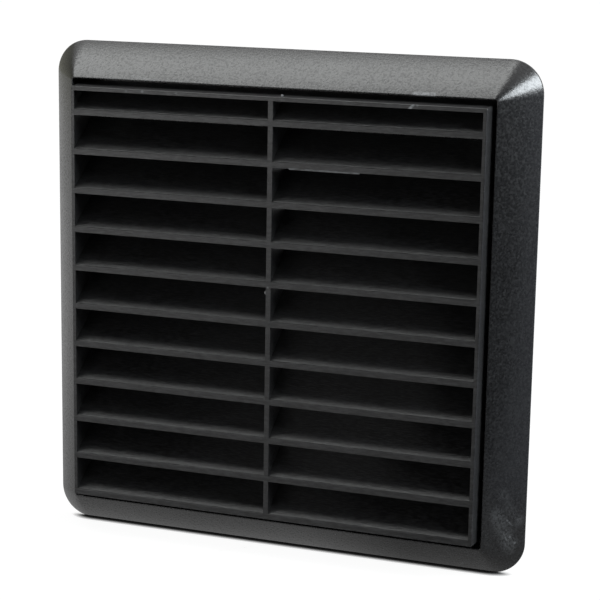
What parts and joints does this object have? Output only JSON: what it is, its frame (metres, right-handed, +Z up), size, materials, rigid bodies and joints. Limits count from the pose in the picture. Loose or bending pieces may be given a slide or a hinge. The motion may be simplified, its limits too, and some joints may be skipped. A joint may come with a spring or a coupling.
{
  "type": "louvred wall vent",
  "caption": "Square black plastic wall vent for a round duct: a surround with sloping sides and a snap-in grille of sloping louvre blades parted by an upright bar.",
  "frame": {"origin": "on the axis of the duct spigot, in the plane of the wall that the vent is fixed to", "axes": "+Y along the spigot into the wall, so the louvres face -Y; +X to the right as seen from outside; +Z up"},
  "size_m": [0.154, 0.0486, 0.154],
  "materials": {
    "surround_plastic": "satin black, finely textured",
    "insert_plastic": "satin black"
  },
  "bodies": {
    "root": {"surround": "surround_plastic", "louvre_insert": "insert_plastic"}
  },
  "joints": []
}
